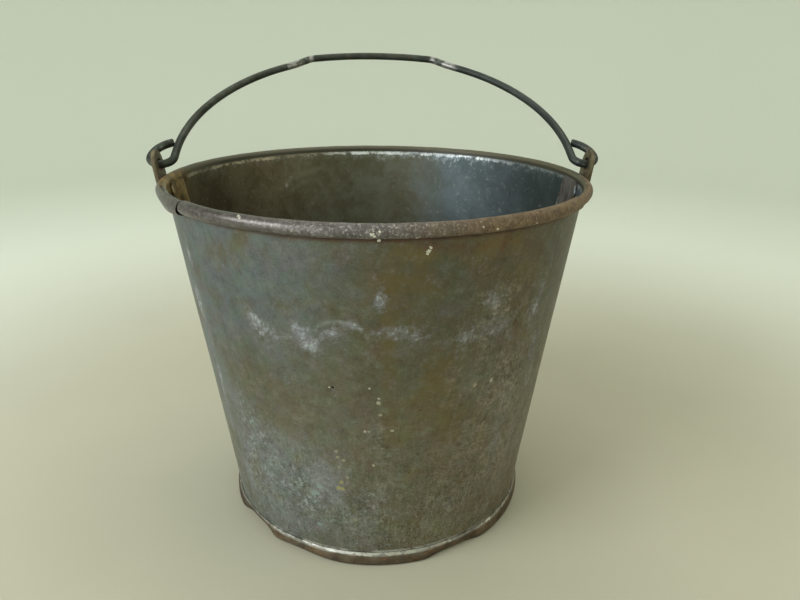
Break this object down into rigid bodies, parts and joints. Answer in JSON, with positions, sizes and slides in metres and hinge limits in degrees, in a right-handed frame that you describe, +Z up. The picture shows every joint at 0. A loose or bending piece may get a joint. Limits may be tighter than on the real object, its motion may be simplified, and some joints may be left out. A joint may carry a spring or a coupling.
{
  "type": "milk pail",
  "caption": "Tapered tinned-steel milk pail with a rolled wired rim, foot band, riveted ears and a swinging wire bail.",
  "frame": {"origin": "on the pail's axis, at the plane its foot stands on", "axes": "+Z up, X through the two ears and along the bail's hinge axis, -Y the front, +Y where the bail leans at rest"},
  "size_m": [0.3336, 0.3079, 0.338],
  "materials": {
    "tinned_sheet": "dull tinned sheet, mottled with oxide bloom and fine pits",
    "rusted_band": "rust-brown steel band, worn bright along its upper edge",
    "rim_wire_steel": "dark oxidised wire",
    "ear_steel": "dull olive-brown oxidised strap",
    "rivet_steel": "hammered steel, oxidised",
    "bail_steel": "dark grey-green wire, worn lighter at the bends"
  },
  "bodies": {
    "pail": {"body_front": "tinned_sheet", "body_back": "tinned_sheet", "bottom_disc": "tinned_sheet", "foot_band": "rusted_band", "rim_wire": "rim_wire_steel", "ear_left": "ear_steel", "ear_right": "ear_steel", "backing_plate_left": "ear_steel", "backing_plate_right": "ear_steel", "rivet_left_upper": "rivet_steel", "rivet_left_lower": "rivet_steel", "rivet_right_upper": "rivet_steel", "rivet_right_lower": "rivet_steel"},
    "bail": {"bail": "bail_steel"}
  },
  "joints": [
    {"name": "bail_swing", "type": "hinge", "parent": "pail", "child": "bail", "pos_m": [0, 0, 0.263], "axis": [1, 0, 0], "range_deg": [-29, 156]}
  ]
}
